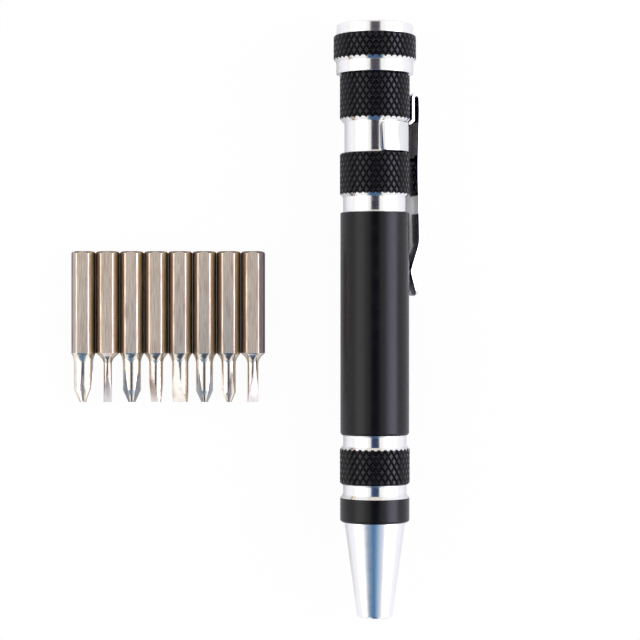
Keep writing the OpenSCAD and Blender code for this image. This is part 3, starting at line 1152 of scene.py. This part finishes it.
@dataclass(frozen=True)
class Cap:
    """The screw cap: a bright turned body, a knurled black band round it and the thread inside."""

    pen: PenPlace
    foot: float = 99.35
    length: float = 9.1
    skirt: float = 7.05
    crown: float = 7.0
    waist: float = 6.85
    bore: float = 5.88
    cavity: float = 6.97
    knurl_foot: float = 2.1
    knurl_length: float = 5.0
    knurl_crest: float = 7.55
    knurl_chamfers: Span = (0.65, 0.45)
    edge: float = 0.35
    ease: float = 0.12
    thread_start: float = 1.0
    thread: Thread = field(default_factory=Thread)

    def build(self) -> None:
        """Builds the cap's pieces and puts them on its body."""
        foot, head = self.foot, self.foot + self.length
        band = Band(
            "cap_knurl", foot + self.knurl_foot, self.knurl_length, self.knurl_crest, self.waist,
            Edge.BRIGHT, Edge.BLACK, *self.knurl_chamfers, CAP_KNURL,
        )
        band_head = band.foot + band.length
        ceiling = foot + self.cavity
        outline: Outline = [(self.bore, foot + self.ease), (self.bore + self.ease, foot)]
        outline += arc((self.skirt - self.ease, foot + self.ease), self.ease, -90, 0, steps=3)
        outline += [(self.skirt, foot + self.ease + RING), (self.skirt, band.foot), (self.waist, band.foot)]
        outline += [(self.waist, band_head), (self.crown, band_head), (self.crown, head - self.edge - RING)]
        outline += arc((self.crown - self.edge, head - self.edge), self.edge, 0, 90, steps=6)
        body = Bench.lathe("cap_body", [(0.0, ceiling), (self.bore, ceiling)] + outline + [(0.0, head)])
        Bench.coat(body, BRIGHT.make(), BORED.make())
        reach, top = self.bore + SLACK, ceiling + SLACK
        Bench.paint_where(body, 1, lambda face: face.center.xy.length < reach and face.center.z < top)
        thread = self.thread.build("cap_thread", self.bore, foot + self.thread_start, outward=False)
        Bench.coat(thread, BORED.make())
        knurl = band.build(self.pen)
        for piece, slot, nodes in (
            (body, "bright_aluminium", ("screw_cap",)),
            (thread, "bright_aluminium", ()),
            (knurl, "black_anodised", ()),
        ):
            Bench.lay(piece, self.pen.matrix())
            ride(piece, "cap", slot, *nodes)


@dataclass(frozen=True)
class Clip:
    """The pocket clip: one strip that grips the groove, rises, folds over and runs down the grip.

    Each point of the knee is how far in and how far up it lies. Each point after it is a share of the way to
    the next bend and how far out from the straight line it lies.
    """

    pen: PenPlace
    turn: float = 32.0
    twist: float = 2.2
    thickness: float = 0.5
    width: float = 4.6
    tip_width: float = 3.8
    tip_radius: float = 1.1
    wrap: float = 225.0
    band_radius: float = 6.05
    band_foot: float = 85.15
    band_head: float = 90.35
    band_corner: float = 0.8
    tab_foot: float = 90.2
    leg_radius: float = 7.01
    fold_radius: float = 0.73
    fold_height: float = 95.3
    arm_length: float = 26.8
    bow: float = 0.3
    inward: float = 5.1
    flare: float = 4.4
    flare_gap: float = 1.5
    pinch_radius: float = 6.75
    knee_lead: float = 0.8
    knee_points: tuple[Span, ...] = ((0.04, 0.25), (0.14, -0.35))
    inward_points: tuple[Span, ...] = ((0.25, 0.0), (0.5, 0.0), (0.75, 0.0), (0.92, 0.05), (1.0, 0.05))
    flare_points: tuple[Span, ...] = ((0.25, 0.0), (0.5, 0.0), (0.75, 0.0))
    tip_angles: tuple[float, ...] = (20, 40, 60, 75, 90)
    tip_spread: float = 0.06
    ease: float = 0.09
    ease_angle: float = 50.0
    bend_slant: float = 0.06
    bend_span: Span = (-0.05, 0.35)
    # Height along the pen from which the arm's inner face gets a painted dark reflection of the barrel.
    painted_dark_from: float = 84.0
    columns: int = 120
    tab_columns: int = 24
    fold_steps: int = 10
    arm_steps: int = 12

    def band(self) -> Piece:
        """Models the sheet that wraps the groove, open where the tab rises, and leaves it in edit mode.

        Returns:
            The new piece.
        """
        start = -math.radians(self.wrap / 2)
        corner = Vector((math.cos(start), math.sin(start), 0)) * self.band_radius
        piece = Bench.line("clip_strip", [corner + Vector((0, 0, self.band_foot))], closed=False)
        bpy.ops.mesh.spin(steps=self.columns, angle=2 * start, center=(0, 0, 0), axis=(0, 0, 1))
        Bench.pick(piece, Element.EDGE, lambda edge: True)
        for low, high in pairwise((self.band_foot, self.tab_foot, self.band_head)):
            bpy.ops.mesh.extrude_region_move(TRANSFORM_OT_translate={"value": (0, 0, high - low)})
        middle = (self.band_foot + self.band_head) / 2
        half = (self.band_head - self.band_foot) / 2
        mesh = bmesh.from_edit_mesh(piece.data)
        for vertex in mesh.verts:
            turned = abs(math.atan2(vertex.co.y, vertex.co.x))
            inset = self.band_corner - self.band_radius * (-start - turned)
            if inset > 0:
                lost = self.band_corner - math.sqrt(max(0.0, self.band_corner**2 - inset**2))
                vertex.co.z = middle + (vertex.co.z - middle) * (half - lost) / half
        bmesh.update_edit_mesh(piece.data)
        half_tab = -start * self.tab_columns / self.columns + SLACK
        Bench.pick(
            piece,
            Element.FACE,
            lambda face: face.calc_center_median().z > self.tab_foot
            and abs(math.atan2(face.calc_center_median().y, face.calc_center_median().x)) < half_tab,
        )
        bpy.ops.mesh.delete(type="FACE")
        return piece

    def arm_line(self) -> list[tuple[float, float, float]]:
        """The arm's middle line from the fold to the tip, as radius, height and half width."""
        top_radius = self.leg_radius + 2 * self.fold_radius
        knee = self.fold_height - self.arm_length
        pinch = knee - self.inward
        tip = pinch - self.flare
        half, half_tip = self.width / 2, self.tip_width / 2
        fall = knee + self.knee_lead - self.fold_height
        line = []
        for step in range(1, self.arm_steps + 1):
            share = step / self.arm_steps
            sag = self.bow * (1 - math.cos(math.tau * share)) / 2
            line.append((top_radius - sag, self.fold_height + fall * share, half))
        line += [(top_radius - inset, knee + rise, half) for inset, rise in self.knee_points]
        bends = [(top_radius, knee), (self.pinch_radius, pinch), (self.pinch_radius + self.flare_gap, tip)]
        for (here, there), points in zip(pairwise(bends), (self.inward_points, self.flare_points)):
            for share, out in points:
                radius, height = (start + (end - start) * share for start, end in zip(here, there))
                part = min(1.0, max(0.0, (knee - height) / (knee - tip)))
                line.append((radius + out, height, half + (half_tip - half) * part))
        for turned in self.tip_angles:
            drop = self.tip_radius * (1 - math.sin(math.radians(turned)))
            loss = self.tip_radius * (1 - math.cos(math.radians(turned)))
            radius = self.pinch_radius + self.flare_gap - drop * self.flare_gap / self.flare
            line.append((radius, tip + drop, half_tip + self.tip_spread * drop - loss))
        return line

    def build(self) -> None:
        """Models the strip, thickens it, coats it and lays it in its place."""
        piece = self.band()
        turned = math.radians(self.wrap / 2) * self.tab_columns / self.columns
        half_tab = self.band_radius * math.sin(turned) + SLACK
        Bench.pick(
            piece,
            Element.EDGE,
            lambda edge: all(
                abs(vertex.co.z - self.tab_foot) < SLACK and abs(vertex.co.y) < half_tab and vertex.co.x > 0
                for vertex in edge.verts
            ),
        )
        lift = self.leg_radius - self.band_radius
        bpy.ops.mesh.extrude_region_move(TRANSFORM_OT_translate={"value": (0, 0, lift)})
        bpy.ops.transform.resize(value=(0, 1, 1), center_override=(self.leg_radius, 0, 0))
        rise = self.fold_height - self.tab_foot - lift
        bpy.ops.mesh.extrude_region_move(TRANSFORM_OT_translate={"value": (0, 0, rise)})
        fold = (self.leg_radius + self.fold_radius, 0, self.fold_height)
        bpy.ops.mesh.spin(steps=self.fold_steps, angle=-math.pi, center=fold, axis=(0, 1, 0))
        here = (self.leg_radius + 2 * self.fold_radius, self.fold_height, self.width / 2)
        for step, there in enumerate(self.arm_line()):
            middle = (there[0], 0, there[1])
            move = (there[0] - here[0], 0, there[1] - here[1])
            bpy.ops.mesh.extrude_region_move(TRANSFORM_OT_translate={"value": move})
            bpy.ops.transform.resize(value=(1, there[2] / here[2], 1), center_override=middle)
            if step == 0:
                twist = -math.radians(self.twist)
                bpy.ops.transform.rotate(value=twist, orient_axis="Z", center_override=middle)
            here = there
        Bench.close_up()
        sheet = piece.modifiers.new("sheet", "SOLIDIFY")
        sheet.thickness = self.thickness
        sheet.offset = 0.0
        sheet.use_even_offset = True
        Bench.apply(piece)
        Bench.ease(piece, self.ease, self.ease_angle)
        place = self.pen.matrix(self.turn)
        painted_dark_y = (place @ Vector((0, 0, self.painted_dark_from * MM))).y
        painted_dark = SpringSteel("spring_steel_painted_dark", painted_dark_y=painted_dark_y)
        Bench.coat(piece, SPRING.make(), painted_dark.make())
        # The arm's inner face gets the painted dark reflection of the barrel from that height on.
        Bench.paint_where(piece, 1, lambda face: face.center.x > fold[0] and face.normal.x < -FACING)
        Bench.lay(piece, place)
        self.bend(piece, place)

    def bend(self, piece: Piece, place: Matrix) -> None:
        """Bakes the strip's place into its mesh and hides the CAD clip nodes that it stands for.

        Args:
            piece: The strip in its place.
            place: The clip's place in the frame.
        """
        fold = Vector((self.leg_radius + self.fold_radius, 0, self.fold_height))
        slope = Vector((1, 0, -self.bend_slant))
        low, high = (place @ ((fold + slope * step) * MM) for step in self.bend_span)
        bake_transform(piece)
        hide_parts("clip_band", "clip_arm")
        LOG.info("%s bends between clip_band and clip_arm", piece.name)


class Tip(Enum):
    """The two kinds of working end."""

    CROSS = "cross"
    SLOT = "slot"


class FlankShade(Enum):
    """Colour of the painted shade on a bit's side flats: dark, or light where a side is open."""

    # Painted shade colours of the side flats: dark between bits, lighter where a side is open.
    DARK = (0.29, 0.225, 0.25)
    LIGHT = (0.46, 0.41, 0.41)

    def finish(self) -> PlatedSteel:
        """The plate of such flats, with the painted shade as its side colour, clean only past the height that
        they reach.
        """
        name = self.name.lower() + "_shaded_flank_steel"
        return PlatedSteel(name, painted_side=self.value, painted_side_span=(1.4 * MM, 2.3 * MM))


@dataclass(frozen=True)
class Bit:
    """A loose bit: a hex shank with rounded corners, a hollow shoulder, a shaft and a working end.

    Each point of the top end is how far in and how far up it lies, as shares of the end's height. The flutes'
    root and the blade's half thickness are shares of the shaft's width.
    """

    node: str
    tip: Tip
    shaft: float
    roll: float
    flat: float = 4.0
    corner: float = 4.54
    length: float = 28.0
    work: float = 9.1
    end: float = 0.4
    end_points: tuple[Span, ...] = ((0.0, 0.0), (0.7, 0.75), (1.6, 1.0))
    sheared: float = 0.25
    shoulder: float = 2.0
    sweep: float = 2.0
    sweep_rings: int = 5
    flute: float = 6.2
    flute_root: float = 0.13
    blade: float = 5.2
    blade_edge: float = 0.09
    point: float = 24.0
    blunt: float = 0.20
    # Painted shade on the left side flats, and on the right ones too when outer.
    flank_shade: FlankShade = FlankShade.DARK
    outer: bool = False

    @property
    def neck(self) -> float:
        """Height at which the shaft ends and the shoulder starts."""
        return self.work - self.shoulder

    def swept(self, inner: float, outer: float) -> Outline:
        """The hollow line of the shoulder, from one radius at the shaft out to another at the shank."""
        line: Outline = []
        for ring in range(self.sweep_rings + 1):
            share = ring / self.sweep_rings
            line.append((inner + (outer - inner) * share**self.sweep, self.neck + self.shoulder * share))
        return line

    def blank(self) -> Piece:
        """Turns the bit before its hex and its tip are cut."""
        radius, corner = self.shaft / 2, self.corner / 2
        outline: Outline = [(0.0, 0.0)]
        if self.tip is Tip.CROSS:
            flat = self.shaft * self.blunt
            point = (radius - flat) / math.tan(math.radians(self.point))
            outline += [(flat, 0.0), (radius, point), (radius, point + RING)]
        else:
            outline += [(radius, 0.0)]
        outline += [(radius, self.neck - RING)] + self.swept(radius, corner)
        top = self.length - self.end
        outline += [(corner - self.end * inset, top + self.end * rise) for inset, rise in self.end_points]
        return Bench.lathe(self.node + "_piece", outline + [(0.0, self.length)], SMALL_STEPS)

    def taper(self, bar: Piece) -> None:
        """Narrows hex bar to the shaft below the shoulder, so that each flat runs out in a triangle.

        Args:
            bar: The bar, which is changed.
        """
        rings = self.swept(self.shaft / 2 + RING, self.flat / 2)
        Bench.edit(bar)
        for _, height in rings:
            bpy.ops.mesh.select_all(action="SELECT")
            bpy.ops.mesh.bisect(plane_co=(0, 0, height), plane_no=(0, 0, 1))
        below = -math.inf
        for radius, height in rings:
            Bench.pick(bar, Element.VERTEX, lambda vertex: below < vertex.co.z < height + WELD)
            share = radius / (self.flat / 2)
            bpy.ops.transform.resize(value=(share, share, 1), center_override=(0, 0, 0))
            below = height + WELD
        bpy.ops.object.mode_set(mode="OBJECT")

    def cross_tool(self) -> Piece:
        """The four V-shaped flutes of a cross-head point."""
        root = self.shaft * self.flute_root
        lean = math.atan((self.shaft / 2 - root) / self.flute)
        place = (
            Matrix.Rotation(math.radians(45 + self.roll), 4, "Z")
            @ Matrix.Translation((root, 0, 0))
            @ Matrix.Rotation(lean, 4, "Y")
            @ Matrix.Rotation(-math.pi / 4, 4, "Z")
            @ Matrix.Translation((0, 0, -OVERRUN))
        )
        tool = Bench.block("flute_tool", (self.shaft, self.shaft, OVERRUN + self.neck), place)
        Bench.repeat(tool, times=3, angle=-1.5 * math.pi)
        return tool

    def slot_tool(self) -> Piece:
        """The two ground flats of a slotted blade."""
        edge = self.shaft * self.blade_edge
        lean = math.atan((self.shaft / 2 - edge) / self.blade)
        place = (
            Matrix.Rotation(math.radians(self.roll), 4, "Z")
            @ Matrix.Translation((-self.shaft, edge, 0))
            @ Matrix.Rotation(-lean, 4, "X")
            @ Matrix.Translation((0, 0, -OVERRUN))
        )
        tool = Bench.block("blade_tool", (2 * self.shaft, self.shaft, OVERRUN + self.neck), place)
        Bench.repeat(tool, times=1, angle=math.pi)
        return tool

    def build(self, bar: Piece) -> None:
        """Cuts the bit from its blank and puts it on its body.

        Args:
            bar: A length of hex bar with rounded corners, which is copied.
        """
        piece = self.blank()
        Bench.coat(piece, PLATED.make(), POLISHED.make(), SHEARED.make(), DARK_END_RIM.make())
        Bench.paint_where(piece, 1, lambda face: face.center.z < self.work)
        Bench.paint_where(piece, 3, lambda face: face.center.z > self.length - self.end)
        Bench.paint_where(piece, 2, lambda face: face.center.z > self.length - self.end * self.sheared)
        hexagon = Bench.copy(bar, self.node + "_bar")
        self.taper(hexagon)
        Bench.coat(hexagon, PLATED.make(), POLISHED.make(), self.flank_shade.finish().make())
        Bench.paint_where(hexagon, 1, lambda face: face.center.z < self.work)
        # Painted shade on the left side flats, and on the right ones too on the outer bit.
        for side in (-1, 1) if self.outer else (-1,):
            Bench.paint_where(
                hexagon, 2, lambda face: face.center.z > self.work and face.normal.x * side > FACING
            )
        Bench.cut(piece, hexagon, Cut.KEEP_COMMON)
        tool = self.cross_tool() if self.tip is Tip.CROSS else self.slot_tool()
        Bench.coat(tool, GROUND.make())
        Bench.cut(piece, tool, Cut.TAKE_AWAY)
        low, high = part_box(self.node)
        there = Matrix.Translation(((low.x + high.x) / 2, low.y, (low.z + high.z) / 2))
        Bench.lay(piece, there @ Matrix.Rotation(-math.pi / 2, 4, "X"))
        ride(piece, self.node, "bit_steel", self.node)


@dataclass(frozen=True)
class BitRow:
    """The row of loose bits, from left to right."""

    corner_offset: float = 0.225
    corner_segments: int = 6
    bits: tuple[Bit, ...] = (
        Bit("cross_bit_1", Tip.CROSS, 3.5, 37, flank_shade=FlankShade.LIGHT),
        Bit("slotted_bit_1_5", Tip.SLOT, 1.5, 16),
        Bit("cross_bit_0", Tip.CROSS, 3.3, 2),
        Bit("slotted_bit_2_5", Tip.SLOT, 2.5, -50),
        Bit("slotted_bit_3_0", Tip.SLOT, 3.0, -30),
        Bit("cross_bit_00", Tip.CROSS, 3.1, 7),
        Bit("cross_bit_000", Tip.CROSS, 2.6, -19),
        Bit("slotted_bit_2_0", Tip.SLOT, 2.0, 18, outer=True),
    )

    def build(self) -> None:
        """Rounds one length of hex bar and cuts every bit from a copy of it."""
        sample = self.bits[0]
        bar = Bench.prism("hex_bar", sample.flat, -OVERRUN, sample.length + 2 * OVERRUN)
        Bench.edit(bar)
        Bench.pick(bar, Element.EDGE, Knurl.is_upright)
        bpy.ops.mesh.bevel(offset=self.corner_offset, segments=self.corner_segments, affect="EDGES")
        Bench.close_up()
        for bit in self.bits:
            bit.build(bar)
        Bench.discard(bar)


@dataclass(frozen=True)
class HiddenPieces:
    """The CAD nodes that keep their shape: the magnet in the socket and the liner in the cap."""

    def build(self) -> None:
        """Gives each of them a better material."""
        nodes: dict[str, Piece] = frame["nodes"]
        for name, finish in (("bit_magnet", MAGNET), ("cap_liner", LINER)):
            Bench.coat(nodes[name], finish.make())
            LOG.info("%s keeps its CAD shape", name)


@dataclass(frozen=True)
class Studio:
    """The camera straight above, a pale floor, and a bright dome with a dim gap overhead.

    The floor looks brighter than it is to the camera, and also in mirrors, most of all away from the pen. The
    spans are where parts of the dome start or end, on the way across, along or ahead.
    """

    camera_at: tuple[float, float, float] = (0.01377, 0.0002, 0.3735)
    field_of_view: float = 18.2
    sensor: float = 36.0
    clip: Span = (0.01, 20.0)
    floor_size: float = 3.0
    floor_colour: Colour = (0.95, 0.95, 0.95)
    lift: float = 0.96
    pen_across: float = 0.0238
    mirror_lift: float = 0.04
    open_lift: float = 0.30
    open_span: Span = (10 * MM, 22 * MM)
    left: Colour = (0.97, 0.965, 0.945)
    right: Colour = (1.00, 0.995, 0.975)
    left_strip: Colour = (2.25, 2.20, 2.22)
    right_strip: Colour = (4.40, 4.20, 5.20)
    side_blend: Span = (-0.3, 0.3)
    strip_end: Span = (0.28, 0.48)
    left_strip_spans: tuple[Span, Span] = ((0.40, 0.75), (0.85, 1.0))
    right_strip_spans: tuple[Span, Span] = ((0.50, 0.85), (0.94, 1.0))
    gap_edge: Span = (0.22, 0.29)
    nose_ahead: tuple[Span, Span] = ((0.63, 0.67), (0.75, 0.80))
    nose_across: tuple[Span, Span] = ((-0.82, -0.74), (0.62, 0.70))
    gap: tuple[tuple[float, Colour], ...] = (
        (0.20, (0.80, 0.77, 0.72)),
        (0.36, (0.25, 0.24, 0.23)),
        (0.43, (0.070, 0.065, 0.085)),
        (0.455, (0.040, 0.026, 0.034)),
        (0.47, (0.040, 0.036, 0.055)),
        (0.53, (0.026, 0.040, 0.100)),
        (0.545, (0.036, 0.068, 0.18)),
        (0.65, (0.07, 0.12, 0.22)),
        (0.685, (0.068, 0.21, 0.42)),
        (0.82, (0.022, 0.040, 0.070)),
        (0.93, (0.022, 0.040, 0.070)),
        (0.985, (0.06, 0.13, 0.26)),
    )
    nose_gap: tuple[tuple[float, Colour], ...] = (
        (0.12, (1.00, 1.00, 1.00)),
        (0.22, (0.25, 0.32, 0.41)),
        (0.31, (0.09, 0.18, 0.335)),
        (0.48, (0.07, 0.20, 0.41)),
        (0.61, (0.295, 0.49, 0.71)),
        (0.74, (0.58, 0.63, 0.77)),
        (0.84, (1.00, 1.00, 1.00)),
    )

    def camera(self) -> None:
        """Makes the camera, which looks straight down."""
        data = bpy.data.cameras.new("camera")
        data.sensor_width = self.sensor
        data.lens = data.sensor_width / 2 / math.tan(math.radians(self.field_of_view / 2))
        data.clip_start, data.clip_end = self.clip
        camera = bpy.data.objects.new("camera", data)
        camera.location = self.camera_at
        bpy.context.scene.collection.objects.link(camera)
        bpy.context.scene.camera = camera

    def floor(self) -> None:
        """Lays the floor, which the camera sees almost white, with the set's soft shadow."""
        Bench.clear()
        bpy.ops.mesh.primitive_plane_add(size=self.floor_size, location=(0, 0, 0))
        floor = Bench.named("floor")
        material = bpy.data.materials.new("pale_floor")
        material.use_nodes = True
        graph = Graph(material.node_tree)
        paper = graph.node("ShaderNodeBsdfDiffuse", {}, {"Color": (*self.floor_colour, 1.0)})
        white = graph.node("ShaderNodeEmission", {}, {"Color": (1.0, 1.0, 1.0, 1.0), "Strength": 1.0})
        seen = graph.node("ShaderNodeLightPath", {}, {}, "Is Camera Ray") * self.lift
        beside = abs(graph.axis(graph.place(), "X") - self.pen_across)
        mirror_lift = graph.ramp(beside, *self.open_span) * self.open_lift + self.mirror_lift
        for name in ("Is Glossy Ray", "Is Transmission Ray"):
            mirrored = graph.node("ShaderNodeLightPath", {}, {}, name) * mirror_lift
            seen = graph.math("MAXIMUM", seen, mirrored)
        mixed = graph.node("ShaderNodeMixShader", {}, {0: seen, 1: paper, 2: white})
        graph.node("ShaderNodeOutputMaterial", {}, {"Surface": mixed})
        Bench.coat(floor, material)

    def dome(self) -> None:
        """Lights the set: two soft sides with a low strip in each, and a dim gap along the pen overhead."""
        world = bpy.data.worlds.new("studio")
        world.use_nodes = True
        graph = Graph(world.node_tree)
        way = graph.node("ShaderNodeTexCoord", {}, {}, "Generated")
        across, along = (graph.axis(way, name) for name in "XY")
        sides = graph.tint(graph.ramp(across, *self.side_blend), self.left, self.right)
        middle = graph.fade(abs(along), *self.strip_end)
        low_right = graph.window(across, *self.right_strip_spans)
        low_left = graph.window(-across, *self.left_strip_spans)
        sides = graph.tint(low_right * middle, sides, self.right_strip)
        sides = graph.tint(low_left * middle, sides, self.left_strip)
        ahead = 0.5 - along * 0.5
        outside = graph.ramp(abs(across), *self.gap_edge)
        light = graph.tint(outside, graph.stops(ahead, self.gap), sides)
        nose = graph.window(ahead, *self.nose_ahead) * graph.window(across, *self.nose_across)
        light = graph.tint(nose, light, graph.stops(0.5 + across * 0.5, self.nose_gap))
        sky = graph.node("ShaderNodeBackground", {}, {"Color": light, "Strength": 1.0})
        graph.node("ShaderNodeOutputWorld", {}, {"Surface": sky})
        bpy.context.scene.world = world

    def light(self) -> None:
        """Lays the floor, lights the set and sets the plain view transform."""
        self.floor()
        self.dome()
        bpy.context.scene.view_settings.view_transform = "Standard"


def main() -> None:
    """Builds the set around the CAD frame."""
    logging.basicConfig(level=logging.INFO)
    studio = Studio()
    studio.camera()
    pen = PenPlace.of_frame()
    for assembly in (Barrel(pen), Nose(pen), Cap(pen), Clip(pen), BitRow(), HiddenPieces()):
        assembly.build()
    studio.light()
    Bench.clear()


if __name__ == "__main__":
    main()
